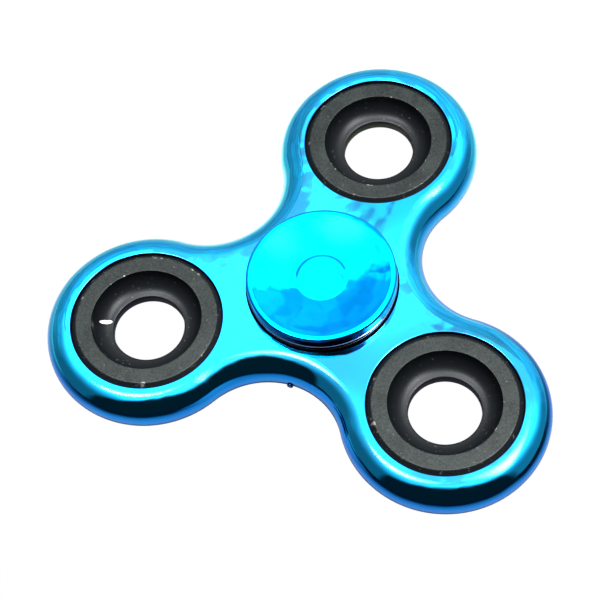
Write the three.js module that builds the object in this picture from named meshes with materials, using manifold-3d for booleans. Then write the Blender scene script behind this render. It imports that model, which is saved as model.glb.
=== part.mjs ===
// Fidget spinner with three lobes: a round-edged body, three steel ring weights, and a size 608
// ball bearing held between two dished finger caps. Millimetres, +Z up along the spin axis.
// The origin is the middle of the bearing, halfway through the body.
import * as THREE from 'three';
import { mergeVertices } from 'three/addons/utils/BufferGeometryUtils.js';
import Module from 'manifold-3d';

const wasm = await Module();
wasm.setup();

// Body
const lobeCount = 3;
const pitchRadius = 26;
const lobeRadius = 15;
const filletRadius = pitchRadius - lobeRadius;
const bodyThickness = 6.8;
const edgeRadius = 3.3;
const firstLobeAngle = Math.PI / 2;
const lobeArcSteps = 18;
const filletArcSteps = 10;
const edgeSteps = 3;
const gateRadius = 0.45;
const gateStandOff = 0.25;
const gateHeight = -0.8;
const gateSegments = 10;

// Size 608 bearing
const bearingOuterRadius = 11;
const bearingBoreRadius = 4;
const bearingWidth = 7;
const ballCount = 7;
const ballRadius = 1.984;
const ballPitchRadius = 7.5;
const grooveRadius = 2.12;
const grooveClearance = 0.1;
const outerShoulderRadius = 8.95;
const innerShoulderRadius = 6.05;
const raceChamfer = 0.3;
const grooveSteps = 4;

// Shields, snapped into a slot in the outer race
const shieldInnerRadius = 6.2;
const shieldOuterRadius = 9.8;
const shieldSheet = 0.35;
const shieldHeight = 2.75;
const shieldSlotRadius = 9.85;
const shieldLipRadius = 9.6;
const shieldPlay = 0.05;

// Ball cage: two pressed halves and their rivets
const cageInnerRadius = 6.85;
const cageOuterRadius = 8.15;
const cageSheet = 0.4;
const cageHalfGap = 0.02;
const pocketRadius = 2.1;
const pocketSegments = 16;
const rivetShankRadius = 0.3;
const rivetHoleRadius = 0.42;
const rivetHeadRadius = 0.55;
const rivetHeadThickness = 0.25;
const rivetSegments = 10;

// Ring weights
const weightChamferWidth = 0.67;
const weightChamferDepth = 0.5;
const weightBowlRadius = 2.65;
const weightBowlMouthRadius = 8.05;
const weightHoleRadius = 5.22;
const weightLip = 0.15;
const bowlSteps = 4;

// Finger caps
const capRadius = 11;
const capTop = 6.2;
const capUnderside = 4.2;
const capEdgeRadius = 0.42;
const capLowerChamfer = 0.2;
const capLandInnerRadius = 10.1;
const capDishRadius = 9.35;
const capDishTop = 5.95;
const capDishPull = 5.5;
const capFlatRadius = 3.4;
const capFlatHeight = 5.3;
const capShoulderRadius = 5.8;
const capMidGap = 0.1;
const socketRadius = 2.3;
const socketTop = 3;
const pinRadius = 2.25;
const pinReach = 2.8;
const pinChamfer = 0.3;
const dishSteps = 4;
const capEdgeSteps = 2;

// Radial gap of the press fits, and the number of flat sides of a round solid
const fitGap = 0.03;
const roundSegments = 36;
const ballSegments = 12;
const ballRings = 8;

const seatRadius = bearingOuterRadius;
const halfWidth = bearingWidth / 2;
const fullTurn = 2 * Math.PI;

const blueChrome = new THREE.MeshStandardMaterial({ color: 0x0f8fd6, roughness: 0.08, metalness: 1 });
const blackSteel = new THREE.MeshStandardMaterial({ color: 0x30363a, roughness: 0.45, metalness: 0.7 });
const raceSteel = new THREE.MeshStandardMaterial({ color: 0xb9bcc0, roughness: 0.3, metalness: 1 });
const ballSteel = new THREE.MeshStandardMaterial({ color: 0xd5d8dc, roughness: 0.08, metalness: 1 });
const cageSteel = new THREE.MeshStandardMaterial({ color: 0x9a9ea3, roughness: 0.4, metalness: 1 });

const group = new THREE.Group();

function addPart(name, geometry, material) {
  const mesh = new THREE.Mesh(geometry, material);
  mesh.name = name;
  group.add(mesh);
  return mesh;
}

function pointAt(radius, angle) {
  return new THREE.Vector2(radius * Math.cos(angle), radius * Math.sin(angle));
}

// Points of an arc about a centre, without its last point.
function arcPoints(centre, radius, startAngle, endAngle, steps) {
  const points = [];
  for (let step = 0; step < steps; step += 1) {
    const angle = startAngle + (endAngle - startAngle) * step / steps;
    points.push(pointAt(radius, angle).add(centre));
  }
  return points;
}

// A solid turned about Z. The profile is a list of [radius, height] points that runs up the outside;
// it starts and ends on the axis, or it is joined up into a ring.
function turned(profile, segments = roundSegments) {
  const outline = profile.map(([radius, height]) => new THREE.Vector2(radius, height));
  if (outline[0].x > 0) {
    outline.push(outline[0].clone());
  }
  const geometry = new THREE.LatheGeometry(outline, segments);
  geometry.rotateX(Math.PI / 2);
  return geometry;
}

function ring(innerRadius, outerRadius, bottom, top) {
  return turned([[innerRadius, bottom], [outerRadius, bottom], [outerRadius, top], [innerRadius, top]]);
}

function plug(radius, bottom, top, segments = roundSegments) {
  return turned([[0, bottom], [radius, bottom], [radius, top], [0, top]], segments);
}

function toSolid(geometry) {
  const bare = geometry.clone();
  bare.deleteAttribute('normal');
  bare.deleteAttribute('uv');
  const merged = mergeVertices(bare);
  const mesh = new wasm.Mesh({
    numProp: 3,
    vertProperties: merged.attributes.position.array,
    triVerts: Uint32Array.from(merged.index.array),
  });
  return new wasm.Manifold(mesh);
}

function toGeometry(solid) {
  const mesh = solid.getMesh();
  const geometry = new THREE.BufferGeometry();
  geometry.setAttribute('position', new THREE.BufferAttribute(mesh.vertProperties, mesh.numProp));
  geometry.setIndex(new THREE.BufferAttribute(mesh.triVerts, 1));
  geometry.computeVertexNormals();
  return geometry;
}

function lobeAngle(index) {
  return firstLobeAngle + fullTurn * index / lobeCount;
}

// The flat top of the body: lobe arcs joined by hollow fillet arcs whose centres lie on the same
// pitch circle. The round edge grows outwards from this outline.
function plateauOutline() {
  const halfStep = Math.PI / lobeCount;
  const points = [];
  for (let index = 0; index < lobeCount; index += 1) {
    const lobe = lobeAngle(index);
    const fillet = lobe + halfStep;
    const lobeCentre = pointAt(pitchRadius, lobe);
    const filletCentre = pointAt(pitchRadius, fillet);
    const lobeArc = [lobe - 2 * halfStep, lobe + 2 * halfStep];
    const filletArc = [fillet + Math.PI + halfStep, fillet + Math.PI - halfStep];
    points.push(...arcPoints(lobeCentre, lobeRadius - edgeRadius, ...lobeArc, lobeArcSteps));
    points.push(...arcPoints(filletCentre, filletRadius + edgeRadius, ...filletArc, filletArcSteps));
  }
  return points;
}

// The stub left by the moulding gate, in the hollow edge opposite the first lobe.
function gateMark() {
  const hollowEdge = pitchRadius - filletRadius;
  const stub = new THREE.CylinderGeometry(gateRadius, gateRadius, edgeRadius, gateSegments);
  stub.translate(0, edgeRadius / 2 - hollowEdge - gateStandOff, gateHeight);
  return stub;
}

function makeBody() {
  const straightSide = bodyThickness - 2 * edgeRadius;
  const blank = new THREE.ExtrudeGeometry(new THREE.Shape(plateauOutline()), {
    depth: straightSide,
    bevelThickness: edgeRadius,
    bevelSize: edgeRadius,
    bevelSegments: edgeSteps,
  });
  blank.translate(0, 0, -straightSide / 2);
  let body = toSolid(blank).add(toSolid(gateMark()));
  const seat = plug(seatRadius, -bodyThickness, bodyThickness);
  body = body.subtract(toSolid(seat));
  for (let index = 0; index < lobeCount; index += 1) {
    const centre = pointAt(pitchRadius, lobeAngle(index));
    body = body.subtract(toSolid(seat.clone().translate(centre.x, centre.y, 0)));
  }
  return toGeometry(body);
}

// A quarter-round bowl from its mouth on the face down to the lip of the through hole.
function bowlProfile(side) {
  const points = [];
  for (let step = 0; step <= bowlSteps; step += 1) {
    const angle = Math.PI / 2 * step / bowlSteps;
    const radius = weightBowlMouthRadius - weightBowlRadius * (1 - Math.cos(angle));
    const height = halfWidth - weightBowlRadius * Math.sin(angle);
    points.push([radius, side * height]);
  }
  return points;
}

function makeWeight() {
  const outer = bearingOuterRadius - fitGap;
  const web = halfWidth - weightBowlRadius - weightLip;
  return turned([
    [outer - weightChamferWidth, -halfWidth],
    [outer, weightChamferDepth - halfWidth],
    [outer, halfWidth - weightChamferDepth],
    [outer - weightChamferWidth, halfWidth],
    ...bowlProfile(1),
    [weightHoleRadius, web],
    [weightHoleRadius, -web],
    ...bowlProfile(-1).reverse(),
  ]);
}

// The ball groove in a race; facing is 1 where it opens inwards and -1 where it opens outwards.
function grooveProfile(shoulderRadius, facing) {
  const bottomRadius = ballPitchRadius + facing * (ballRadius + grooveClearance);
  const centreRadius = bottomRadius - facing * grooveRadius;
  const reach = Math.acos(Math.abs(shoulderRadius - centreRadius) / grooveRadius);
  const points = [];
  for (let step = 0; step <= grooveSteps; step += 1) {
    const angle = facing * reach * (1 - 2 * step / grooveSteps);
    points.push([
      centreRadius + facing * grooveRadius * Math.cos(angle),
      grooveRadius * Math.sin(angle),
    ]);
  }
  return points;
}

function makeOuterRace() {
  const outer = bearingOuterRadius - fitGap;
  const slotBottom = shieldHeight - shieldPlay;
  const slotTop = shieldHeight + shieldSheet + shieldPlay;
  return turned([
    [shieldLipRadius, -halfWidth],
    [outer - raceChamfer, -halfWidth],
    [outer, raceChamfer - halfWidth],
    [outer, halfWidth - raceChamfer],
    [outer - raceChamfer, halfWidth],
    [shieldLipRadius, halfWidth],
    [shieldLipRadius, slotTop],
    [shieldSlotRadius, slotTop],
    [shieldSlotRadius, slotBottom],
    [outerShoulderRadius, slotBottom],
    ...grooveProfile(outerShoulderRadius, 1),
    [outerShoulderRadius, -slotBottom],
    [shieldSlotRadius, -slotBottom],
    [shieldSlotRadius, -slotTop],
    [shieldLipRadius, -slotTop],
  ]);
}

function makeInnerRace() {
  return turned([
    [bearingBoreRadius, raceChamfer - halfWidth],
    [bearingBoreRadius + raceChamfer, -halfWidth],
    [innerShoulderRadius, -halfWidth],
    ...grooveProfile(innerShoulderRadius, -1),
    [innerShoulderRadius, halfWidth],
    [bearingBoreRadius + raceChamfer, halfWidth],
    [bearingBoreRadius, halfWidth - raceChamfer],
  ]);
}

function makeBall() {
  const ball = new THREE.SphereGeometry(ballRadius, ballSegments, ballRings);
  ball.rotateX(Math.PI / 2);
  return ball;
}

function ballAngle(index) {
  return fullTurn * index / ballCount;
}

// A bar lying along the radius through one ball, as wide as the pocket it forms or cuts.
function pocketBar(radius, index) {
  const length = 2 * ballRadius;
  const bar = new THREE.CylinderGeometry(radius, radius, length, pocketSegments);
  bar.rotateZ(-Math.PI / 2);
  bar.translate(ballPitchRadius, 0, 0);
  bar.rotateZ(ballAngle(index));
  return toSolid(bar);
}

// The upper half of the cage: a flat ring that rises over each ball.
function makeCageHalf() {
  const top = pocketRadius + cageSheet;
  let half = toSolid(ring(cageInnerRadius, cageOuterRadius, cageHalfGap, cageHalfGap + cageSheet));
  const envelope = toSolid(ring(cageInnerRadius, cageOuterRadius, cageHalfGap, top));
  const hole = plug(rivetHoleRadius, -top, top, rivetSegments);
  for (let index = 0; index < ballCount; index += 1) {
    half = half.add(pocketBar(top, index).intersect(envelope));
  }
  for (let index = 0; index < ballCount; index += 1) {
    const rivet = pointAt(ballPitchRadius, ballAngle(index + 0.5));
    half = half.subtract(pocketBar(pocketRadius, index));
    half = half.subtract(toSolid(hole.clone().translate(rivet.x, rivet.y, 0)));
  }
  return toGeometry(half);
}

function makeRivet() {
  const headBottom = 2 * cageHalfGap + cageSheet;
  const headTop = headBottom + rivetHeadThickness;
  return turned([
    [0, -headTop],
    [rivetHeadRadius, -headTop],
    [rivetHeadRadius, -headBottom],
    [rivetShankRadius, -headBottom],
    [rivetShankRadius, headBottom],
    [rivetHeadRadius, headBottom],
    [rivetHeadRadius, headTop],
    [0, headTop],
  ], rivetSegments);
}

// The rim and the dish of a cap, from the underside up and in to the axis.
function capHead() {
  const shoulderHeight = halfWidth + fitGap;
  const landRadius = capRadius - capEdgeRadius;
  const points = [
    [capShoulderRadius, shoulderHeight],
    [capShoulderRadius, capUnderside],
    [capRadius - capLowerChamfer, capUnderside],
    [capRadius, capUnderside + capLowerChamfer],
  ];
  for (let step = 0; step <= capEdgeSteps; step += 1) {
    const angle = Math.PI / 2 * step / capEdgeSteps;
    points.push([
      landRadius + capEdgeRadius * Math.cos(angle),
      capTop - capEdgeRadius * (1 - Math.sin(angle)),
    ]);
  }
  points.push([capLandInnerRadius, capTop]);
  const dishStart = new THREE.Vector2(capDishRadius, capDishTop);
  const dishEnd = new THREE.Vector2(capFlatRadius, capFlatHeight);
  const dishMiddle = new THREE.Vector2((capDishRadius + capFlatRadius) / 2, capDishPull);
  const dish = new THREE.QuadraticBezierCurve(dishStart, dishMiddle, dishEnd);
  for (const point of dish.getPoints(dishSteps)) {
    points.push([point.x, point.y]);
  }
  points.push([0, capFlatHeight]);
  return points;
}

function makeTopCap() {
  const postRadius = bearingBoreRadius - fitGap;
  return turned([
    [0, socketTop],
    [socketRadius, socketTop],
    [socketRadius, capMidGap],
    [postRadius, capMidGap],
    [postRadius, halfWidth + fitGap],
    ...capHead(),
  ]);
}

// The lower cap is drawn head up like the upper one, then turned over. Its pin fills the socket.
function makeBottomCap() {
  const postRadius = bearingBoreRadius - fitGap;
  const cap = turned([
    [0, -pinReach],
    [pinRadius - pinChamfer, -pinReach],
    [pinRadius, pinChamfer - pinReach],
    [pinRadius, capMidGap],
    [postRadius, capMidGap],
    [postRadius, halfWidth + fitGap],
    ...capHead(),
  ]);
  cap.rotateX(Math.PI);
  return cap;
}

addPart('spinner_body', makeBody(), blueChrome);

const weight = makeWeight();
for (let index = 0; index < lobeCount; index += 1) {
  const centre = pointAt(pitchRadius, lobeAngle(index));
  const mesh = addPart(`weight_ring_${index + 1}`, weight, blackSteel);
  mesh.position.set(centre.x, centre.y, 0);
}

addPart('outer_race', makeOuterRace(), raceSteel);
addPart('inner_race', makeInnerRace(), raceSteel);

const shieldTop = shieldHeight + shieldSheet;
addPart('shield_top', ring(shieldInnerRadius, shieldOuterRadius, shieldHeight, shieldTop), cageSteel);
addPart('shield_bottom', ring(shieldInnerRadius, shieldOuterRadius, -shieldTop, -shieldHeight), cageSteel);

const cageHalf = makeCageHalf();
addPart('cage_upper', cageHalf, cageSteel);
const lowerCage = addPart('cage_lower', cageHalf, cageSteel);
lowerCage.rotation.x = Math.PI;

const ball = makeBall();
const rivet = makeRivet();
for (let index = 0; index < ballCount; index += 1) {
  const ballCentre = pointAt(ballPitchRadius, ballAngle(index));
  const rivetCentre = pointAt(ballPitchRadius, ballAngle(index + 0.5));
  const ballMesh = addPart(`ball_${index + 1}`, ball, ballSteel);
  const rivetMesh = addPart(`cage_rivet_${index + 1}`, rivet, cageSteel);
  ballMesh.position.set(ballCentre.x, ballCentre.y, 0);
  rivetMesh.position.set(rivetCentre.x, rivetCentre.y, 0);
}

addPart('top_cap', makeTopCap(), blueChrome);
addPart('bottom_cap', makeBottomCap(), blueChrome);

export default group;
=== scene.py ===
"""Looks of the fidget spinner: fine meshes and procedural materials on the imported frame.

Lengths are in metres, +Z is the spin axis, and the first lobe points along +Y.
"""
import math

import bpy
from mathutils import Matrix, Vector
from mathutils.geometry import delaunay_2d_cdt


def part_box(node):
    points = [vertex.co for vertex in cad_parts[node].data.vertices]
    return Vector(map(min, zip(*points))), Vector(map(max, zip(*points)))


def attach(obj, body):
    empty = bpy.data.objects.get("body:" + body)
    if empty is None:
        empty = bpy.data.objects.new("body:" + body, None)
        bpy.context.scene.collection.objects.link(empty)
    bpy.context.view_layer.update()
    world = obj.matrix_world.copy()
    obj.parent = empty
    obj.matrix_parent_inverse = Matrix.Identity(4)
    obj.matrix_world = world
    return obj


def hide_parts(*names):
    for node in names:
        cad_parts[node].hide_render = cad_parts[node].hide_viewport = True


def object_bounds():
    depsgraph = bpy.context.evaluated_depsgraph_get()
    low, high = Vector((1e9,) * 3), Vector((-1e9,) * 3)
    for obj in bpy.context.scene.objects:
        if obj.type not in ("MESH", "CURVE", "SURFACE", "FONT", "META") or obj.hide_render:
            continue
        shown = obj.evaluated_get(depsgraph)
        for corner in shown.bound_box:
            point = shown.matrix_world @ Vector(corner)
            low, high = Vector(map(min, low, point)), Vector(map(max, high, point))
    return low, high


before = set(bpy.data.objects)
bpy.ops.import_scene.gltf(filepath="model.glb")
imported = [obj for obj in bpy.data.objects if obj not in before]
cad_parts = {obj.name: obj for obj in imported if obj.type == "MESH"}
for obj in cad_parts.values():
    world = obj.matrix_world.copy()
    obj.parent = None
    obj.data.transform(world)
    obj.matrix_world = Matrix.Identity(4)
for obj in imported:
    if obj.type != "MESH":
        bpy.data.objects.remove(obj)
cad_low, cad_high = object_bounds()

MM = 0.001

# Camera: the view of the photograph
CAMERA_AZIMUTH = math.radians(27.06)
CAMERA_ELEVATION = math.radians(60.64)
CAMERA_ROLL = math.radians(-8.9)
CAMERA_DISTANCE = 260.87 * MM
CAMERA_TARGET = Vector((-3.0 * MM, -1.8 * MM, 0.0))
CAMERA_LENS = 106.6

# Studio, seen from the camera's side: x to the right, y away, z up. The opening is the bright part
# overhead, the far side is the pale room beyond the spinner, and the shaded side is the dark one
# that the camera stands in. A span says where a change begins and ends. Angles are in degrees, but
# SKY_SPAN is in x, SHADED_SPAN and SHADED_TOP_SPAN are in cosines of the angle to SHADED_WAY, and a
# lamp's turn is in radians. Lamps lie on the plane one unit above the spinner.
OPENING_WAY = (0.110, 0.262, 0.940)
OPENING_EDGE = 66.0
OPENING_CORE = 22.0
OPENING_FALLOFF = 2.3
OPENING_LIGHT = 3.6
SKY_SPAN = (-0.8, 0.1)
SKY_LIGHT = 0.35
SKY_LEFT_SHARE = 0.65
SKY_RIGHT_SHARE = 1.05
FAR_EDGE_SPAN = (75.0, 50.0)
FAR_HEIGHT_SPAN = (10.0, 55.0)
FAR_LOW_LIGHT = 0.8
FAR_HIGH_LIGHT = 1.6
FAR_BEARING_SPAN = (-45.0, 45.0)
FAR_LEFT_SHARE = 0.65
FAR_RIGHT_SHARE = 1.35
FAR_PATCH_SCALE = 7.0
FAR_PATCH_SPAN = (0.38, 0.62)
FAR_PATCH_DARK = 0.70
FAR_PATCH_LIGHT = 1.12
SKYLINE_SPAN = (20.0, 46.0)
SKYLINE_MIDDLE = 56.0
SKYLINE_SIDE = 42.0
SKYLINE_SCALE = 10.0
SKYLINE_JAGGEDNESS = 22.0
SKYLINE_EDGE_SPAN = (1.0, -2.0)
SHADED_WAY = (-0.156, -0.988, 0.0)
SHADED_LIGHT = 0.022
SHADED_SPAN = (0.46, 0.58)
SHADED_TOP_SPAN = (0.5, 1.0)
SHADED_TOP_SIDE = 53.0
SHADED_TOP_MIDDLE = 78.0
SHADED_TOP_EDGE_SPAN = (8.0, -12.0)
LAMP_STRENGTH = 75.0
LAMP_EDGE = 1.2
LAMP_CORE = 0.2
LOWEST_LAMP_HEIGHT = 0.05
LAMPS = (
    {"centre": (-0.19, 0.18), "turn": 0.0, "half_length": 0.20, "half_width": 0.18},
    {"centre": (0.355, 0.03), "turn": -1.05, "half_length": 0.42, "half_width": 0.17},
)
CAMERA_WHITE = 1.0

# Table top, as reflections see it: a pale sheet close to the spinner, a darker table beyond it, both
# darker towards the camera as painted shade. The sheet fades from SHEET_CORE to SHEET_EDGE past a
# lobe's radius. Spans run away from the camera.
SHEET_SPAN = (-5.0 * MM, 45.0 * MM)
SHEET_SHADED_NEAR_LIGHT = 0.145
SHEET_FAR_LIGHT = 0.42
SHEET_CORE = 2.0 * MM
SHEET_EDGE = 25.0 * MM
TABLE_SPAN = (-42.0 * MM, 55.0 * MM)
TABLE_SHADED_NEAR_LIGHT = 0.005
TABLE_FAR_LIGHT = 0.17
TINT_SPAN = (-10.0 * MM, 30.0 * MM)
TABLE_NEAR_TINT = (0.75, 0.74, 1.15, 1)
TABLE_FAR_TINT = (1.05, 1.15, 0.90, 1)
TABLE_HALF_SIZE = 3.0
TABLE_GLOW = 1.02
TABLE_GLOW_SHARE = 0.98

# Noise: scales are in features per metre on the pieces, and spans are thresholds
SOFT_SPAN = (0.35, 0.65)
WIDE_SPAN = (0.3, 0.7)

# Lacquer over the plating: the tints are what the metal looks like under it, but for the tints of
# painted reflection and painted shade
BODY_THIN = (0.0, 0.48, 0.94, 1)
BODY_THICK = (0.0, 0.42, 0.90, 1)
CAP_THIN = (0.0, 0.340, 1.0, 1)
CAP_THICK = (0.0, 0.320, 0.97, 1)
# Painted reflection: the tint of soft dark patches on the body's flat faces
REFLECTION_PATCH_TINT = (0.0, 0.13, 0.24, 1)
# Painted shade: the tint of the seat walls, the gate stub and the caps' walls and undersides
PAINTED_SHADE_TINT = (0.0, 0.016, 0.075, 1)
BARE = (0.16, 0.26, 0.50, 1)
# How dark the patches of painted reflection make the body and the caps
BODY_REFLECTION_PATCHES = 0.9
CAP_REFLECTION_PATCHES = 0.0
BODY_COAT = 0.30
CAP_COAT = 0.01
COAT_ROUGHNESS = 0.07
COAT_INDEX = 1.5
LACQUER_SMOOTHEST = 0.05
LACQUER_ROUGHEST = 0.09
CLOUD_SCALE = 90.0
# Soft patches of painted reflection on the flat faces: size, thresholds and fade from the face's edge
REFLECTION_PATCH_SCALE = 48.0
REFLECTION_PATCH_SPAN = (0.36, 0.68)
REFLECTION_PATCH_FADE = 0.25 * MM
SMEAR_SCALE = 420.0
SMEAR_SPAN = (0.35, 0.75)
PEEL_SCALE = 900.0
PEEL_DEPTH = 0.0002 * MM
WAVE_SCALE = 130.0
WAVE_DEPTH = 0.22 * MM
SINK_WIDTH = 6.5 * MM
SINK_DEPTH = 0.25 * MM

# Mask values of lacquered pieces: how much painted shade darkens the lacquer, or RUBBED_BARE
CLEAR = 0.0
SOFT_PAINTED_SHADE = 0.85
PAINTED_SHADE = 1.0
RUBBED_BARE = 2.0

# Blackened steel
FACE_DARK = (0.004, 0.006, 0.006, 1)
FACE_LIGHT = (0.013, 0.017, 0.016, 1)
# Chamfers, bowls and holes: the black of the steel, darkened with painted shade below the faces' tone
STEEL_SHADE_BLACK = (0.004, 0.005, 0.006, 1)
DUST = (0.20, 0.20, 0.18, 1)
RUBBED_STEEL = (0.40, 0.38, 0.34, 1)
# Colour of the painted glint in one bowl
PAINTED_GLINT_STEEL = (0.85, 0.86, 0.84, 1)
PATCH_SCALE = 260.0
MOTTLE_SCALE = 3200.0
GRAIN_SCALE = 5200.0
GRAIN_DEPTH = 0.006 * MM
DUST_SCALE = 2600.0
DUST_SPAN = (0.68, 0.76)
DUST_SHARE = 0.25
RUB_SCALE = 700.0
RUB_SPAN = (0.60, 0.75)
RUB_SHARE = 0.45
STEEL_METALLIC = 0.25
STEEL_SPECULAR = 0.10
FACE_FADE = 0.12 * MM
FACE_TOLERANCE = 0.02 * MM
BOWL_ROUGHNESS = 0.33
SMOOTHEST_FACE = 0.30
ROUGHEST_FACE = 0.40
# A painted glint: a bright spot in the bowl of one weight
GLINT_LOBE = 1
GLINT_LENGTH = 1.7 * MM
GLINT_WIDTH = 0.55 * MM
GLINT_RADIUS = 6.4 * MM
GLINT_BEARING = math.radians(190.0)
GLINT_TWIST = math.radians(20.0)

# Bearing steels: colour, roughest and smoothest finish
RACE_STEEL = ((0.62, 0.63, 0.65), 0.30, 0.16)
# The outer race is near black: painted shadow of the gap under the caps
SEAT_SHADOW_STEEL = ((0.045, 0.05, 0.055), 0.34, 0.22)
BALL_STEEL = ((0.80, 0.81, 0.83), 0.10, 0.04)
SHEET_STEEL = ((0.50, 0.51, 0.53), 0.42, 0.28)
LAY_SCALE = 3000.0
LAY_DEPTH = 0.002 * MM
OIL_SCALE = 300.0

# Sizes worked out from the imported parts
body_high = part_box("spinner_body")[1]
weight_low, weight_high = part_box("weight_ring_1")
cap_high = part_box("top_cap")[1]
race_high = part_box("outer_race")[1]
inner_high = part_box("inner_race")[1]
shield_low, shield_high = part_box("shield_top")

LOBES = 3
FIRST_LOBE = math.pi / 2
HALF_LOBE_STEP = math.pi / LOBES
FIT_GAP = 0.03 * MM
PITCH_RADIUS = (weight_low.y + weight_high.y) / 2
LOBE_RADIUS = body_high.y - PITCH_RADIUS
FILLET_RADIUS = PITCH_RADIUS - LOBE_RADIUS
BODY_TOP = body_high.z
EDGE_STRAIGHT = 0.1 * MM
EDGE_RADIUS = BODY_TOP - EDGE_STRAIGHT
SEAT_RADIUS = (weight_high.x - weight_low.x) / 2 + FIT_GAP
SEAT_ROUNDING = 0.22 * MM
PLATEAU_MARGIN = 0.05 * MM
SEAT_MOUTH = SEAT_RADIUS + SEAT_ROUNDING + PLATEAU_MARGIN
# Painted shade covers the seat walls inside this radius
SEAT_SHADE_EDGE = SEAT_RADIUS + 0.95 * SEAT_ROUNDING
WEIGHT_TOP = weight_high.z
CAP_RADIUS = cap_high.x
CAP_TOP = cap_high.z
RACE_TOP = race_high.z

# Gate mark, a stub on the near hollow edge
STUB_RADIUS = 0.45 * MM
STUB_ROUNDING = 0.15 * MM
STUB_REACH = 1.5 * MM
STUB_STAND_OFF = 0.25 * MM
STUB_HEIGHT = -0.8 * MM

# Ring weights
WEIGHT_MOUTH = 8.05 * MM
WEIGHT_BOWL = 2.65 * MM
WEIGHT_HOLE = 5.22 * MM
WEIGHT_LIP = 0.15 * MM
WEIGHT_CHAMFER_WIDTH = 0.67 * MM
WEIGHT_CHAMFER_DEPTH = 0.5 * MM
WEIGHT_RUB = 0.2 * MM

# Finger caps
CAP_UNDERSIDE = 4.2 * MM
CAP_BEAD = 0.08 * MM
CAP_BEAD_HEIGHT = 0.2 * MM
CAP_LAND_RADIUS = 10.1 * MM
CAP_DISH_RADIUS = 9.35 * MM
CAP_DISH_TOP = 6.06 * MM
CAP_DISH_PULL = 5.46 * MM
CAP_PAD_RADIUS = 3.4 * MM
CAP_PAD_GROOVE = 0.40 * MM
CAP_PAD_STEP = 0.045 * MM
CAP_PAD_HEIGHT = 5.3 * MM
CAP_SHOULDER_RADIUS = 5.8 * MM
CAP_MID_GAP = 0.1 * MM
BORE_RADIUS = 4.0 * MM
POST_RADIUS = BORE_RADIUS - FIT_GAP
SOCKET_RADIUS = 2.3 * MM
SOCKET_TOP = 3.0 * MM
PIN_RADIUS = 2.25 * MM
PIN_REACH = 2.8 * MM

# Bearing
BALL_RADIUS = 1.984 * MM
BALL_PITCH = 7.5 * MM
GROOVE_RADIUS = 2.12 * MM
GROOVE_CLEARANCE = 0.1 * MM
OUTER_SHOULDER = 8.95 * MM
SHIELD_LIP = 9.6 * MM
SHIELD_SLOT = 9.85 * MM
SHIELD_PLAY = 0.05 * MM
SHIELD_INNER = 6.2 * MM
SHIELD_STEP = 7.1 * MM
SHIELD_SHEET = 0.2 * MM

# Fineness of the meshes
ROUND_STEPS = 192
LOBE_STEPS = 96
FILLET_STEPS = 48
EDGE_STEPS = 20
SEAT_STEPS = 6
BOWL_STEPS = 14
DISH_STEPS = 24
GROOVE_STEPS = 18
CORNER_STEPS = 6
SHIELD_CORNER_STEPS = 4
SHARP_ANGLE = math.radians(32)


def node(tree, kind, inputs=None, **settings):
    """A shader node with its settings, its input values and its links."""
    made = tree.nodes.new(kind)
    for name, value in settings.items():
        setattr(made, name, value)
    for socket, value in (inputs or {}).items():
        if isinstance(value, bpy.types.NodeSocket):
            tree.links.new(value, made.inputs[socket])
        else:
            made.inputs[socket].default_value = value
    return made


def maths(tree, operation, *values):
    made = node(tree, "ShaderNodeMath", dict(enumerate(values)), operation=operation)
    return made.outputs[0]


def ramp(tree, value, low, high, start=0.0, end=1.0):
    """A smooth change from start to end while value goes from low to high."""
    inputs = {"Value": value, "From Min": low, "From Max": high, "To Min": start, "To Max": end}
    return node(tree, "ShaderNodeMapRange", inputs, interpolation_type="SMOOTHSTEP").outputs[0]


def mix_value(tree, share, first, second):
    made = node(tree, "ShaderNodeMix", {0: share, 2: first, 3: second}, data_type="FLOAT")
    return made.outputs[0]


def mix_colour(tree, share, first, second):
    made = node(tree, "ShaderNodeMix", {0: share, 6: first, 7: second}, data_type="RGBA")
    return made.outputs[2]


def noise(tree, place, scale, detail=3.0, roughness=0.5):
    inputs = {"Vector": place, "Scale": scale, "Detail": detail, "Roughness": roughness}
    return node(tree, "ShaderNodeTexNoise", inputs).outputs["Fac"]


def new_material(name):
    """An empty material with its Principled shader and its object coordinates."""
    material = bpy.data.materials.new(name)
    material.use_nodes = True
    tree = material.node_tree
    tree.nodes.clear()
    shader = node(tree, "ShaderNodeBsdfPrincipled")
    node(tree, "ShaderNodeOutputMaterial", {"Surface": shader.outputs[0]})
    place = node(tree, "ShaderNodeTexCoord").outputs["Object"]
    return material, tree, shader, place


def turn_about_z(tree, vector, angle):
    inputs = {"Vector": vector, "Angle": angle}
    return node(tree, "ShaderNodeVectorRotate", inputs, rotation_type="Z_AXIS").outputs[0]


def vector_maths(tree, operation, *values):
    made = node(tree, "ShaderNodeVectorMath", dict(enumerate(values)), operation=operation)
    return made.outputs[0]


def scaled(tree, vector, factor):
    inputs = {0: vector, "Scale": factor}
    return node(tree, "ShaderNodeVectorMath", inputs, operation="SCALE").outputs[0]


def length(tree, vector):
    return node(tree, "ShaderNodeVectorMath", {0: vector}, operation="LENGTH").outputs["Value"]


def dot(tree, first, second):
    made = node(tree, "ShaderNodeVectorMath", {0: first, 1: second}, operation="DOT_PRODUCT")
    return made.outputs["Value"]


def parts(tree, vector):
    return node(tree, "ShaderNodeSeparateXYZ", {0: vector}).outputs


def level(tree, vector):
    """The vector without its upright part."""
    return vector_maths(tree, "MULTIPLY", vector, (1, 1, 0))


def bump(tree, height, distance, strength=1.0, normal=None):
    inputs = {"Height": height, "Distance": distance, "Strength": strength}
    if normal is not None:
        inputs["Normal"] = normal
    return node(tree, "ShaderNodeBump", inputs).outputs[0]


def distance_to(tree, place, centre):
    return length(tree, vector_maths(tree, "SUBTRACT", place, centre))


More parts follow.
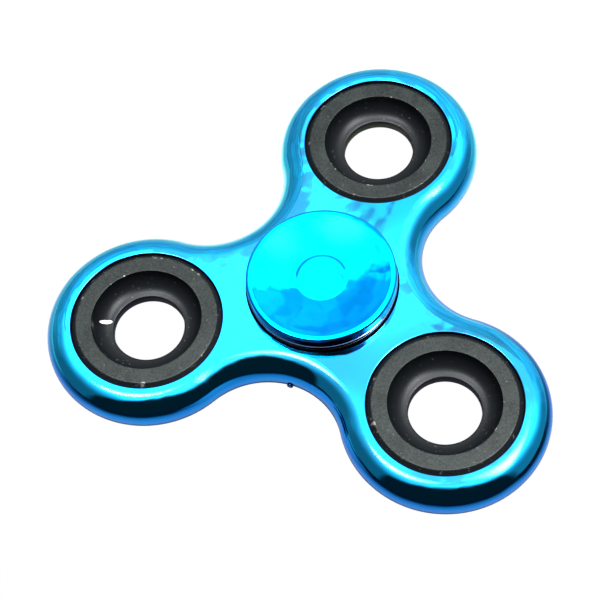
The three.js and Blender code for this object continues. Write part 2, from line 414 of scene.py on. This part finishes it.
def reach_along(tree, offset, turn, half_length, half_width):
    """How far out a point lies in a turned ellipse: 1 is its edge."""
    laid = turn_about_z(tree, offset, -turn)
    return length(tree, vector_maths(tree, "MULTIPLY", laid, (1 / half_length, 1 / half_width, 0.0)))


def lacquered_chrome(name, thin, thick, coat, reflection_patches, hollows=()):
    """Plated plastic under clear blue lacquer: a deep blue metal with a little white gloss on top.

    The mask paints shade dark into the lacquer on the seat walls, the gate stub and the caps' walls
    and undersides, and marks where it is rubbed through as RUBBED_BARE. Soft patches of painted
    reflection make the body's flat faces darker by the share given. The faces sink slightly towards
    the hollow edges, which curve round the given centres.
    """
    material, tree, shader, place = new_material(name)
    shade_mask = node(tree, "ShaderNodeAttribute", attribute_name="mask").outputs["Fac"]
    cloud = noise(tree, place, CLOUD_SCALE, 2.0)
    smear = noise(tree, place, SMEAR_SCALE, 5.0, 0.6)
    peel = noise(tree, place, PEEL_SCALE, 1.0)
    wave = noise(tree, place, WAVE_SCALE, 2.0)
    height = maths(tree, "ABSOLUTE", parts(tree, place)[2])
    # Soft dark patches on the flat faces are painted reflection
    flat_face = ramp(tree, height, BODY_TOP - REFLECTION_PATCH_FADE, BODY_TOP - FACE_TOLERANCE)
    patch = ramp(tree, noise(tree, place, REFLECTION_PATCH_SCALE, 1.5), *REFLECTION_PATCH_SPAN, 0.0, reflection_patches)
    tint = mix_colour(tree, ramp(tree, cloud, *SOFT_SPAN), thin, thick)
    tint = mix_colour(tree, maths(tree, "MULTIPLY", flat_face, patch), tint, REFLECTION_PATCH_TINT)
    # The mask paints shade on the seat walls, the stub and the caps' walls and undersides
    tint = mix_colour(tree, shade_mask, tint, PAINTED_SHADE_TINT)
    tint = mix_colour(tree, ramp(tree, shade_mask, PAINTED_SHADE + 0.2, RUBBED_BARE - 0.2), tint, BARE)
    normal = bump(tree, wave, WAVE_DEPTH)
    flat_place = level(tree, place)
    for centre in hollows:
        reach = distance_to(tree, flat_place, (*centre, 0.0))
        sunk = ramp(tree, reach, FILLET_RADIUS, FILLET_RADIUS + SINK_WIDTH)
        normal = bump(tree, sunk, SINK_DEPTH, 1.0, normal)
    normal = bump(tree, peel, PEEL_DEPTH, 1.0, normal)
    rough = ramp(tree, smear, *SMEAR_SPAN, LACQUER_SMOOTHEST, LACQUER_ROUGHEST)
    tree.links.new(tint, shader.inputs["Base Color"])
    tree.links.new(rough, shader.inputs["Roughness"])
    tree.links.new(normal, shader.inputs["Normal"])
    shader.inputs["Metallic"].default_value = 1.0
    shader.inputs["Coat Weight"].default_value = coat
    shader.inputs["Coat Roughness"].default_value = COAT_ROUGHNESS
    shader.inputs["Coat IOR"].default_value = COAT_INDEX
    return material


def painted_glint_mask(tree, place, height):
    """The share of the painted glint, a bright spot in the bowl of one ring weight."""
    lobe_x, lobe_y = lobe_centre(GLINT_LOBE)
    out_x, out_y = polar(GLINT_RADIUS, GLINT_BEARING)
    offset = vector_maths(tree, "SUBTRACT", place, (lobe_x + out_x, lobe_y + out_y, 0.0))
    reach = reach_along(tree, offset, GLINT_BEARING + GLINT_TWIST, GLINT_LENGTH / 2, GLINT_WIDTH / 2)
    upper = ramp(tree, height, 0.0, 0.1 * MM)
    return maths(tree, "MULTIPLY", upper, ramp(tree, reach, 1.1, 0.9))


def black_steel():
    """Blackened steel: satin faces, chamfers and bowls darkened with painted shade, rubbed edges and a
    painted glint in one bowl.
    """
    material, tree, shader, place = new_material("black_steel")
    wear = node(tree, "ShaderNodeAttribute", attribute_name="mask").outputs["Fac"]
    height = parts(tree, place)[2]
    face_span = (WEIGHT_TOP - FACE_FADE, WEIGHT_TOP - FACE_TOLERANCE)
    on_face = ramp(tree, maths(tree, "ABSOLUTE", height), *face_span)
    patch = noise(tree, place, PATCH_SCALE, 4.0, 0.6)
    mottle = noise(tree, place, MOTTLE_SCALE, 4.0, 0.6)
    grain = noise(tree, place, GRAIN_SCALE, 4.0, 0.6)
    dust = ramp(tree, noise(tree, place, DUST_SCALE, 2.0), *DUST_SPAN, 0.0, DUST_SHARE)
    rub = ramp(tree, noise(tree, place, RUB_SCALE, 5.0, 0.65), *RUB_SPAN, 0.0, RUB_SHARE)
    shade = maths(tree, "MULTIPLY_ADD", mottle, 0.7, maths(tree, "MULTIPLY", patch, 0.3))
    face = mix_colour(tree, ramp(tree, shade, *SOFT_SPAN), FACE_DARK, FACE_LIGHT)
    # Off the flat faces the black steel is darkened further: painted shade
    colour = mix_colour(tree, on_face, STEEL_SHADE_BLACK, face)
    colour = mix_colour(tree, dust, colour, DUST)
    colour = mix_colour(tree, maths(tree, "MULTIPLY", wear, rub), colour, RUBBED_STEEL)
    # A bright spot in one bowl: painted glint
    colour = mix_colour(tree, painted_glint_mask(tree, place, height), colour, PAINTED_GLINT_STEEL)
    satin = ramp(tree, patch, *WIDE_SPAN, SMOOTHEST_FACE, ROUGHEST_FACE)
    tree.links.new(colour, shader.inputs["Base Color"])
    tree.links.new(mix_value(tree, on_face, BOWL_ROUGHNESS, satin), shader.inputs["Roughness"])
    tree.links.new(bump(tree, grain, GRAIN_DEPTH, 0.6), shader.inputs["Normal"])
    shader.inputs["Metallic"].default_value = STEEL_METALLIC
    shader.inputs["Specular IOR Level"].default_value = STEEL_SPECULAR
    return material


def bearing_steel(name, colour, rough, smooth):
    """Ground bearing steel with a fine lay and faint oil."""
    material, tree, shader, place = new_material(name)
    lay = noise(tree, place, LAY_SCALE, 3.0)
    oil = noise(tree, place, OIL_SCALE, 3.0)
    dark = (colour[0] * 0.72, colour[1] * 0.72, colour[2] * 0.74, 1)
    shade = mix_colour(tree, ramp(tree, oil, *SOFT_SPAN), dark, (*colour, 1))
    tree.links.new(shade, shader.inputs["Base Color"])
    tree.links.new(ramp(tree, lay, *WIDE_SPAN, smooth, rough), shader.inputs["Roughness"])
    tree.links.new(bump(tree, lay, LAY_DEPTH), shader.inputs["Normal"])
    shader.inputs["Metallic"].default_value = 1.0
    return material


def show(name, shape, material, body):
    """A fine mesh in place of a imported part, smooth but for its sharp edges, riding on a body.

    shape is the mesh's points, its faces and its mask, a number for each point.
    """
    points, faces, mask = shape
    mesh = bpy.data.meshes.new(name + "_skin")
    mesh.from_pydata([tuple(point) for point in points], [], faces)
    layer = mesh.attributes.new("mask", "FLOAT", "POINT")
    layer.data.foreach_set("value", mask)
    mesh.shade_smooth()
    mesh.set_sharp_from_angle(angle=SHARP_ANGLE)
    mesh.materials.append(material)
    piece = bpy.data.objects.new(name + "_skin", mesh)
    bpy.context.scene.collection.objects.link(piece)
    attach(piece, body)
    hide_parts(name)


def turned(profile, centre=(0.0, 0.0), flip=False):
    """Points, faces and mask of a profile turned about Z at a centre.

    A profile point is (radius, height, mask). The profile runs up the outside; it starts and ends
    on the axis, or it is a closed ring. flip turns the solid upside down.
    """
    closed = profile[0][0] > 0
    points = []
    mask = []
    rows = []
    side = -1 if flip else 1
    for radius, height, marked in profile:
        first = len(points)
        count = ROUND_STEPS if radius > 0 else 1
        for step in range(count):
            angle = 2 * math.pi * step / ROUND_STEPS * side
            x = centre[0] + radius * math.cos(angle)
            y = centre[1] + radius * math.sin(angle)
            points.append((x, y, height * side))
            mask.append(marked)
        rows.append((first, count))
    faces = []
    pairs = list(zip(rows, rows[1:]))
    if closed:
        pairs.append((rows[-1], rows[0]))
    for (low, low_count), (high, high_count) in pairs:
        for step in range(ROUND_STEPS):
            following = (step + 1) % ROUND_STEPS
            corners = [
                low + step % low_count,
                low + following % low_count,
                high + following % high_count,
                high + step % high_count,
            ]
            faces.append(tuple(dict.fromkeys(corners)))
    return points, faces, mask


def softened(corners, steps=CORNER_STEPS):
    """A profile with rounded corners. A corner is (radius, height, rounding, mask)."""
    profile = []
    for index, (radius, height, rounding, marked) in enumerate(corners):
        here = Vector((radius, height))
        if rounding == 0:
            profile.append((radius, height, marked))
            continue
        before = Vector(corners[index - 1][:2]) - here
        after = Vector(corners[(index + 1) % len(corners)][:2]) - here
        start = here + before.normalized() * rounding
        end = here + after.normalized() * rounding
        for step in range(steps + 1):
            share = step / steps
            point = start.lerp(here, share).lerp(here.lerp(end, share), share)
            profile.append((point.x, point.y, marked))
    return profile


def around(centre, radius, start, end, steps):
    """Points of an arc, without its last one."""
    points = []
    for step in range(steps):
        angle = start + (end - start) * step / steps
        points.append((centre[0] + radius * math.cos(angle), centre[1] + radius * math.sin(angle)))
    return points


def polar(radius, angle):
    return radius * math.cos(angle), radius * math.sin(angle)


def lobe_angle(index):
    return FIRST_LOBE + 2 * HALF_LOBE_STEP * index


def lobe_centre(index):
    return polar(PITCH_RADIUS, lobe_angle(index))


def hollow_centre(index):
    """The middle of the hollow that follows a lobe."""
    return polar(PITCH_RADIUS, lobe_angle(index) + HALF_LOBE_STEP)


def body_outline(growth):
    """The plateau's outline, grown outwards: lobe arcs joined by hollow fillet arcs."""
    lobe_radius = LOBE_RADIUS - EDGE_RADIUS + growth
    fillet_radius = FILLET_RADIUS + EDGE_RADIUS - growth
    points = []
    for index in range(LOBES):
        lobe = lobe_angle(index)
        opposite = lobe + HALF_LOBE_STEP + math.pi
        lobe_ends = (lobe - 2 * HALF_LOBE_STEP, lobe + 2 * HALF_LOBE_STEP)
        fillet_ends = (opposite + HALF_LOBE_STEP, opposite - HALF_LOBE_STEP)
        points += around(lobe_centre(index), lobe_radius, *lobe_ends, LOBE_STEPS)
        points += around(hollow_centre(index), fillet_radius, *fillet_ends, FILLET_STEPS)
    return points


def fill_between(outline, holes, hole_radius):
    """Triangles between an outline and round holes, as indices into outline + every hole's points.

    The filling works in millimetres, so that its tolerance suits the size of the body.
    """
    flat = [Vector(point) / MM for point in outline]
    edges = [(step, (step + 1) % len(outline)) for step in range(len(outline))]
    for centre in holes:
        first = len(flat)
        circle = around(centre, hole_radius, 0, 2 * math.pi, ROUND_STEPS)
        flat += [Vector(point) / MM for point in circle]
        edges += [(first + step, first + (step + 1) % ROUND_STEPS) for step in range(ROUND_STEPS)]
    found, _, triangles, source, _, _ = delaunay_2d_cdt(flat, edges, [], 1, 1e-6)
    faces = []
    for triangle in triangles:
        middle = sum((found[corner] for corner in triangle), Vector((0, 0))) / 3
        reaches = [(middle * MM - Vector(centre)).length for centre in holes]
        if min(reaches) > hole_radius:
            faces.append([source[corner][0] for corner in triangle])
    return faces


def strip_faces(start, rows, count, outward=True):
    """Quads between rows of points, each row going once round from the index start on."""
    faces = []
    for row in range(rows - 1):
        above = start + row * count
        below = above + count
        for step in range(count):
            following = (step + 1) % count
            corners = (below + step, below + following, above + following, above + step)
            faces.append(corners if outward else corners[::-1])
    return faces


def edge_rows():
    """Growth and height of the rows of points down the full-round outer edge."""
    rows = [(-PLATEAU_MARGIN, BODY_TOP)]
    for step in range(EDGE_STEPS + 1):
        turn = math.pi / 2 * step / EDGE_STEPS
        rows.append((EDGE_RADIUS * math.sin(turn), EDGE_STRAIGHT + EDGE_RADIUS * math.cos(turn)))
    return rows + [(growth, -height) for growth, height in reversed(rows)]


def seat_rows():
    """Radius and height of the rows of points down a seat with eased mouths."""
    rows = [(SEAT_MOUTH, BODY_TOP)]
    for step in range(SEAT_STEPS + 1):
        turn = math.pi / 2 * step / SEAT_STEPS
        radius = SEAT_RADIUS + SEAT_ROUNDING * (1 - math.sin(turn))
        rows.append((radius, BODY_TOP - SEAT_ROUNDING * (1 - math.cos(turn))))
    return rows + [(radius, -height) for radius, height in reversed(rows)]


def stub_mesh():
    """The gate mark: a short round stub that stands out of the near hollow edge."""
    # The whole stub gets painted shade
    points, faces, mask = turned(softened([
        (0.0, -STUB_REACH, 0, PAINTED_SHADE),
        (STUB_RADIUS, -STUB_REACH, 0, PAINTED_SHADE),
        (STUB_RADIUS, 0.0, STUB_ROUNDING, PAINTED_SHADE),
        (0.0, 0.0, 0, PAINTED_SHADE),
    ]))
    tip = PITCH_RADIUS - FILLET_RADIUS + STUB_STAND_OFF
    return [(x, -tip - height, y + STUB_HEIGHT) for x, y, height in points], faces, mask


def body_mesh():
    """The moulded body: flat faces, a full-round edge, four seats with eased mouths, a gate stub.

    The mask marks the seat walls and the stub, where painted shade darkens the lacquer.
    """
    seats = [(0.0, 0.0)] + [lobe_centre(index) for index in range(LOBES)]
    points = []
    rows = edge_rows()
    for growth, height in rows:
        points += [(x, y, height) for x, y in body_outline(growth)]
    mask = [CLEAR] * len(points)
    count = len(points) // len(rows)
    faces = strip_faces(0, len(rows), count)
    top_index = list(range(count))
    bottom_index = list(range(len(points) - count, len(points)))

    rows = seat_rows()
    for centre in seats:
        start = len(points)
        for radius, height in rows:
            points += [(x, y, height) for x, y in around(centre, radius, 0, 2 * math.pi, ROUND_STEPS)]
            # Painted shade on the seat walls
            mask += [PAINTED_SHADE if radius < SEAT_SHADE_EDGE else CLEAR] * ROUND_STEPS
        faces += strip_faces(start, len(rows), ROUND_STEPS, outward=False)
        top_index += range(start, start + ROUND_STEPS)
        bottom_index += range(len(points) - ROUND_STEPS, len(points))

    for a, b, c in fill_between(body_outline(-PLATEAU_MARGIN), seats, SEAT_MOUTH):
        faces.append((top_index[a], top_index[b], top_index[c]))
        faces.append((bottom_index[c], bottom_index[b], bottom_index[a]))

    stub_points, stub_faces, stub_mask = stub_mesh()
    faces += [tuple(len(points) + corner for corner in face) for face in stub_faces]
    return points + stub_points, faces, mask + stub_mask


def weight_profile():
    """A ring weight: chamfered rim, flat face, quarter-round bowl and a through hole.

    The mask is how much an edge is rubbed.
    """
    outer = SEAT_RADIUS - FIT_GAP
    land = outer - WEIGHT_CHAMFER_WIDTH
    web = WEIGHT_TOP - WEIGHT_BOWL - WEIGHT_LIP
    upper = softened([
        (outer, 0.0, 0, 0.0),
        (outer, WEIGHT_TOP - WEIGHT_CHAMFER_DEPTH, 0.10 * MM, 0.15),
        (land, WEIGHT_TOP, 0.09 * MM, 1.0),
        (land - WEIGHT_RUB, WEIGHT_TOP, 0, 0.0),
        (WEIGHT_MOUTH + WEIGHT_RUB, WEIGHT_TOP, 0, 0.0),
        (WEIGHT_MOUTH, WEIGHT_TOP, 0.07 * MM, 1.6),
        (WEIGHT_MOUTH - 0.01 * MM, WEIGHT_TOP - 0.3 * MM, 0, 0.0),
    ])
    for step in range(2, BOWL_STEPS + 1):
        turn = math.pi / 2 * step / BOWL_STEPS
        radius = WEIGHT_MOUTH - WEIGHT_BOWL * (1 - math.cos(turn))
        upper.append((radius, WEIGHT_TOP - WEIGHT_BOWL * math.sin(turn), 0.0))
    upper.append((WEIGHT_HOLE + 0.04 * MM, web + WEIGHT_LIP * 0.7, 0.1))
    upper.append((WEIGHT_HOLE, web, 0.0))
    lower = [(radius, -height, marked) for radius, height, marked in reversed(upper)]
    return lower[:-1] + upper


def cap_head():
    """Corners of a cap's head: flange, beaded wall, round rim, soft crease, dish and raised pad."""
    wall = CAP_RADIUS - CAP_BEAD
    bead_top = CAP_UNDERSIDE + CAP_BEAD_HEIGHT
    corners = [
        # Painted shade on the flange, the underside and the wall; the bead is rubbed bare
        (CAP_SHOULDER_RADIUS, RACE_TOP + FIT_GAP, 0, PAINTED_SHADE),
        (CAP_SHOULDER_RADIUS, CAP_UNDERSIDE, 0, PAINTED_SHADE),
        (CAP_RADIUS, CAP_UNDERSIDE, 0.05 * MM, PAINTED_SHADE),
        (CAP_RADIUS, bead_top, 0.04 * MM, RUBBED_BARE),
        (wall, bead_top + 0.025 * MM, 0.02 * MM, RUBBED_BARE),
        (wall, bead_top + 0.06 * MM, 0, SOFT_PAINTED_SHADE),
        (wall, CAP_TOP - 0.5 * MM, 0, SOFT_PAINTED_SHADE),
        (wall, CAP_TOP, 0.42 * MM, CLEAR),
        (CAP_LAND_RADIUS, CAP_TOP, 0.12 * MM, CLEAR),
        (CAP_DISH_RADIUS, CAP_DISH_TOP, 0.16 * MM, CLEAR),
    ]
    groove = Vector((CAP_PAD_RADIUS + CAP_PAD_GROOVE, CAP_PAD_HEIGHT - CAP_PAD_STEP))
    rim = Vector((CAP_DISH_RADIUS, CAP_DISH_TOP))
    pull = Vector(((groove.x + rim.x) / 2, CAP_DISH_PULL))
    for step in range(1, DISH_STEPS):
        share = step / DISH_STEPS
        point = rim.lerp(pull, share).lerp(pull.lerp(groove, share), share)
        corners.append((point.x, point.y, 0, CLEAR))
    corners += [
        (groove.x, groove.y, 0.05 * MM, CLEAR),
        (CAP_PAD_RADIUS, CAP_PAD_HEIGHT, 0.04 * MM, CLEAR),
        (CAP_PAD_RADIUS - 0.1 * MM, CAP_PAD_HEIGHT, 0, CLEAR),
        (0.0, CAP_PAD_HEIGHT, 0, CLEAR),
    ]
    return corners


def top_cap_profile():
    """The upper cap: its post holds the socket."""
    post = [
        (0.0, SOCKET_TOP, 0, CLEAR),
        (SOCKET_RADIUS, SOCKET_TOP, 0, CLEAR),
        (SOCKET_RADIUS, CAP_MID_GAP, 0, CLEAR),
        (POST_RADIUS, CAP_MID_GAP, 0.2 * MM, CLEAR),
        (POST_RADIUS, RACE_TOP + FIT_GAP, 0, CLEAR),
    ]
    return softened(post + cap_head())


def bottom_cap_profile():
    """The lower cap, drawn head up: its post carries the pin."""
    post = [
        (0.0, -PIN_REACH, 0, CLEAR),
        (PIN_RADIUS, -PIN_REACH, 0.25 * MM, CLEAR),
        (PIN_RADIUS, CAP_MID_GAP, 0, CLEAR),
        (POST_RADIUS, CAP_MID_GAP, 0.2 * MM, CLEAR),
        (POST_RADIUS, RACE_TOP + FIT_GAP, 0, CLEAR),
    ]
    return softened(post + cap_head())


def groove_corners(shoulder, facing):
    """The ball groove of a race; facing is 1 where it opens inwards and -1 where it opens outwards."""
    bottom = BALL_PITCH + facing * (BALL_RADIUS + GROOVE_CLEARANCE)
    middle = bottom - facing * GROOVE_RADIUS
    reach = math.acos(abs(shoulder - middle) / GROOVE_RADIUS)
    corners = []
    for step in range(GROOVE_STEPS + 1):
        turn = facing * reach * (1 - 2 * step / GROOVE_STEPS)
        radius = middle + facing * GROOVE_RADIUS * math.cos(turn)
        corners.append((radius, GROOVE_RADIUS * math.sin(turn), 0, 0.0))
    return corners


def outer_race_profile():
    """The outer race, with a snap slot for each shield."""
    outer = SEAT_RADIUS - FIT_GAP
    upper = [
        (outer, RACE_TOP, 0.3 * MM, 0.0),
        (SHIELD_LIP, RACE_TOP, 0.1 * MM, 0.0),
        (SHIELD_LIP, shield_high.z + SHIELD_PLAY, 0, 0.0),
        (SHIELD_SLOT, shield_high.z + SHIELD_PLAY, 0, 0.0),
        (SHIELD_SLOT, shield_low.z - SHIELD_PLAY, 0, 0.0),
        (OUTER_SHOULDER, shield_low.z - SHIELD_PLAY, 0, 0.0),
    ]
    lower = [(radius, -height, rounding, 0.0) for radius, height, rounding, _ in reversed(upper)]
    return softened(lower + upper + groove_corners(OUTER_SHOULDER, 1))


def inner_race_profile():
    """The inner race on the cap posts."""
    return softened([
        (BORE_RADIUS, -RACE_TOP, 0.3 * MM, 0.0),
        (inner_high.x, -RACE_TOP, 0.08 * MM, 0.0),
        *groove_corners(inner_high.x, -1),
        (inner_high.x, RACE_TOP, 0.08 * MM, 0.0),
        (BORE_RADIUS, RACE_TOP, 0.3 * MM, 0.0),
    ])


def shield_profile():
    """A dust shield with a shallow pressed step."""
    outer = shield_high.x
    low = shield_low.z
    high = shield_high.z
    return softened([
        (SHIELD_INNER, low, 0.04 * MM, 0.0),
        (SHIELD_STEP + SHIELD_SHEET, low, 0.04 * MM, 0.0),
        (SHIELD_STEP + SHIELD_SHEET, high - SHIELD_SHEET, 0.04 * MM, 0.0),
        (outer, high - SHIELD_SHEET, 0.05 * MM, 0.0),
        (outer, high, 0.05 * MM, 0.0),
        (SHIELD_STEP, high, 0.06 * MM, 0.0),
        (SHIELD_STEP, low + SHIELD_SHEET, 0.06 * MM, 0.0),
        (SHIELD_INNER, low + SHIELD_SHEET, 0.04 * MM, 0.0),
    ], SHIELD_CORNER_STEPS)


def make_floor():
    """A table top that the camera sees as plain white.

    Reflections see a pale sheet close to the spinner and a darker table beyond it, both darker
    towards the camera as painted shade of the camera's side.
    """
    low = cad_low.z
    corners = [
        (-TABLE_HALF_SIZE, -TABLE_HALF_SIZE, low),
        (TABLE_HALF_SIZE, -TABLE_HALF_SIZE, low),
        (TABLE_HALF_SIZE, TABLE_HALF_SIZE, low),
        (-TABLE_HALF_SIZE, TABLE_HALF_SIZE, low),
    ]
    mesh = bpy.data.meshes.new("floor")
    mesh.from_pydata(corners, [], [(0, 1, 2, 3)])
    material = bpy.data.materials.new("pale_floor")
    material.use_nodes = True
    tree = material.node_tree
    tree.nodes.clear()
    seen = node(tree, "ShaderNodeLightPath").outputs["Is Camera Ray"]
    place = node(tree, "ShaderNodeTexCoord").outputs["Object"]
    away = parts(tree, turn_about_z(tree, place, -CAMERA_AZIMUTH))[1]
    reach = distance_to(tree, place, (0.0, 0.0, low))
    for index in range(LOBES):
        to_lobe = distance_to(tree, place, (*lobe_centre(index), low))
        reach = maths(tree, "MINIMUM", reach, to_lobe)
    close_by = ramp(tree, reach, LOBE_RADIUS + SHEET_EDGE, LOBE_RADIUS + SHEET_CORE)
    # Both darken towards the camera: painted shade of the camera's side
    sheet = ramp(tree, away, *SHEET_SPAN, SHEET_SHADED_NEAR_LIGHT, SHEET_FAR_LIGHT)
    table = ramp(tree, away, *TABLE_SPAN, TABLE_SHADED_NEAR_LIGHT, TABLE_FAR_LIGHT)
    tint = mix_colour(tree, ramp(tree, away, *TINT_SPAN), TABLE_NEAR_TINT, TABLE_FAR_TINT)
    colour = scaled(tree, tint, mix_value(tree, close_by, table, sheet))
    lit = node(tree, "ShaderNodeBsdfDiffuse", {"Color": colour})
    white = node(tree, "ShaderNodeEmission", {"Color": (1, 1, 1, 1), "Strength": TABLE_GLOW})
    share = maths(tree, "MULTIPLY", seen, TABLE_GLOW_SHARE)
    mixed = node(tree, "ShaderNodeMixShader", {0: share, 1: lit.outputs[0], 2: white.outputs[0]})
    node(tree, "ShaderNodeOutputMaterial", {"Surface": mixed.outputs[0]})
    mesh.materials.append(material)
    floor = bpy.data.objects.new("floor", mesh)
    bpy.context.scene.collection.objects.link(floor)


def make_camera():
    """The camera at the photograph's direction, distance and roll."""
    sine, cosine = math.sin(CAMERA_AZIMUTH), math.cos(CAMERA_AZIMUTH)
    level_share = math.cos(CAMERA_ELEVATION)
    back = Vector((sine * level_share, -cosine * level_share, math.sin(CAMERA_ELEVATION)))
    right = Vector((cosine, sine, 0.0))
    up = back.cross(right)
    rolled_right = math.cos(CAMERA_ROLL) * right + math.sin(CAMERA_ROLL) * up
    rolled_up = math.cos(CAMERA_ROLL) * up - math.sin(CAMERA_ROLL) * right
    turn = Matrix((rolled_right, rolled_up, back)).transposed().to_4x4()
    data = bpy.data.cameras.new("camera")
    data.lens = CAMERA_LENS
    data.sensor_width = 36.0
    data.clip_start = 0.01
    camera = bpy.data.objects.new("camera", data)
    camera.matrix_world = Matrix.Translation(CAMERA_TARGET + CAMERA_DISTANCE * back) @ turn
    bpy.context.scene.collection.objects.link(camera)
    bpy.context.scene.camera = camera


def sky_light(tree, facing, across):
    """The opening overhead, over a weak sky that is brighter on the right."""
    opening = Vector(OPENING_WAY).normalized()
    off_opening = maths(tree, "DEGREES", maths(tree, "ARCCOSINE", dot(tree, facing, opening)))
    span = {"Value": off_opening, "From Min": OPENING_EDGE, "From Max": OPENING_CORE}
    inside = node(tree, "ShaderNodeMapRange", span).outputs[0]
    shine = maths(tree, "POWER", inside, OPENING_FALLOFF)
    light = maths(tree, "MULTIPLY_ADD", shine, OPENING_LIGHT, SKY_LIGHT)
    side = ramp(tree, across, *SKY_SPAN, SKY_LEFT_SHARE, SKY_RIGHT_SHARE)
    return maths(tree, "MULTIPLY", light, side)


def far_light(tree, facing, elevation, bearing):
    """The pale room beyond the spinner, in patches, brighter upwards and to the right."""
    light = ramp(tree, elevation, *FAR_HEIGHT_SPAN, FAR_LOW_LIGHT, FAR_HIGH_LIGHT)
    side = ramp(tree, bearing, *FAR_BEARING_SPAN, FAR_LEFT_SHARE, FAR_RIGHT_SHARE)
    patches = noise(tree, facing, FAR_PATCH_SCALE, 3.0, 0.6)
    patch = ramp(tree, patches, *FAR_PATCH_SPAN, FAR_PATCH_DARK, FAR_PATCH_LIGHT)
    return maths(tree, "MULTIPLY", maths(tree, "MULTIPLY", light, side), patch)


def far_side(tree, ragged_elevation, bearing):
    """The share of the far side, whose ragged skyline is highest in the middle."""
    off_axis = maths(tree, "ABSOLUTE", bearing)
    skyline = ramp(tree, off_axis, *SKYLINE_SPAN, SKYLINE_MIDDLE, SKYLINE_SIDE)
    below = ramp(tree, maths(tree, "SUBTRACT", ragged_elevation, skyline), *SKYLINE_EDGE_SPAN)
    return maths(tree, "MULTIPLY", below, ramp(tree, off_axis, *FAR_EDGE_SPAN))


def shaded_side(tree, facing, ragged_elevation):
    """The share of the shaded side, whose ragged top is highest in the middle."""
    level_facing = vector_maths(tree, "NORMALIZE", level(tree, facing))
    toward = dot(tree, level_facing, SHADED_WAY)
    top = ramp(tree, toward, *SHADED_TOP_SPAN, SHADED_TOP_SIDE, SHADED_TOP_MIDDLE)
    below = ramp(tree, maths(tree, "SUBTRACT", ragged_elevation, top), *SHADED_TOP_EDGE_SPAN)
    return maths(tree, "MULTIPLY", ramp(tree, toward, *SHADED_SPAN), below)


def with_lamps(tree, light, facing, up):
    """The light with the soft-edged lamps added; plane is the direction divided by its height."""
    height = maths(tree, "MAXIMUM", up, LOWEST_LAMP_HEIGHT)
    plane = level(tree, vector_maths(tree, "DIVIDE", facing, height))
    for lamp in LAMPS:
        offset = vector_maths(tree, "SUBTRACT", plane, (*lamp["centre"], 0.0))
        reach = reach_along(tree, offset, lamp["turn"], lamp["half_length"], lamp["half_width"])
        glow = maths(tree, "MULTIPLY", ramp(tree, reach, LAMP_EDGE, LAMP_CORE), LAMP_STRENGTH)
        light = maths(tree, "ADD", light, glow)
    return light


def make_world():
    """Studio surroundings for the reflections; the camera sees plain white."""
    world = bpy.data.worlds.new("studio")
    bpy.context.scene.world = world
    world.use_nodes = True
    tree = world.node_tree
    tree.nodes.clear()
    direction = node(tree, "ShaderNodeTexCoord").outputs["Generated"]
    facing = turn_about_z(tree, direction, -CAMERA_AZIMUTH)
    across, away, up = parts(tree, facing)
    elevation = maths(tree, "DEGREES", maths(tree, "ARCSINE", up))
    bearing = maths(tree, "DEGREES", maths(tree, "ARCTAN2", across, away))
    ragged = maths(tree, "SUBTRACT", noise(tree, facing, SKYLINE_SCALE, 3.5, 0.55), 0.5)
    ragged_elevation = maths(tree, "MULTIPLY_ADD", ragged, SKYLINE_JAGGEDNESS, elevation)

    light = sky_light(tree, facing, across)
    beyond = far_light(tree, facing, elevation, bearing)
    light = mix_value(tree, far_side(tree, ragged_elevation, bearing), light, beyond)
    light = mix_value(tree, shaded_side(tree, facing, ragged_elevation), light, SHADED_LIGHT)
    light = with_lamps(tree, light, facing, up)

    seen = node(tree, "ShaderNodeLightPath").outputs["Is Camera Ray"]
    strength = mix_value(tree, seen, light, CAMERA_WHITE)
    background = node(tree, "ShaderNodeBackground", {"Color": (1, 1, 1, 1), "Strength": strength})
    node(tree, "ShaderNodeOutputWorld", {"Surface": background.outputs[0]})


make_camera()
make_world()
make_floor()

hollows = [hollow_centre(index) for index in range(LOBES)]
body_chrome = lacquered_chrome("blue_chrome", BODY_THIN, BODY_THICK, BODY_COAT, BODY_REFLECTION_PATCHES, hollows)
cap_chrome = lacquered_chrome("cap_chrome", CAP_THIN, CAP_THICK, CAP_COAT, CAP_REFLECTION_PATCHES)
steel = black_steel()
race_steel = bearing_steel("race_steel", *RACE_STEEL)
seat_shadow_steel = bearing_steel("seat_shadow_steel", *SEAT_SHADOW_STEEL)
ball_steel = bearing_steel("ball_steel", *BALL_STEEL)
sheet_steel = bearing_steel("sheet_steel", *SHEET_STEEL)

show("spinner_body", body_mesh(), body_chrome, "spinner")
for index in range(LOBES):
    ring = turned(weight_profile(), lobe_centre(index))
    show(f"weight_ring_{index + 1}", ring, steel, "spinner")
# The outer race carries painted shadow
show("outer_race", turned(outer_race_profile()), seat_shadow_steel, "spinner")
show("inner_race", turned(inner_race_profile()), race_steel, "finger_caps")
show("shield_top", turned(shield_profile()), sheet_steel, "spinner")
show("shield_bottom", turned(shield_profile(), flip=True), sheet_steel, "spinner")
show("top_cap", turned(top_cap_profile()), cap_chrome, "finger_caps")
show("bottom_cap", turned(bottom_cap_profile(), flip=True), cap_chrome, "finger_caps")

for name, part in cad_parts.items():
    if name.startswith("ball_"):
        part.data.materials[0] = ball_steel
    elif name.startswith("cage_"):
        part.data.materials[0] = sheet_steel

scene = bpy.context.scene
scene.view_settings.view_transform = "Standard"
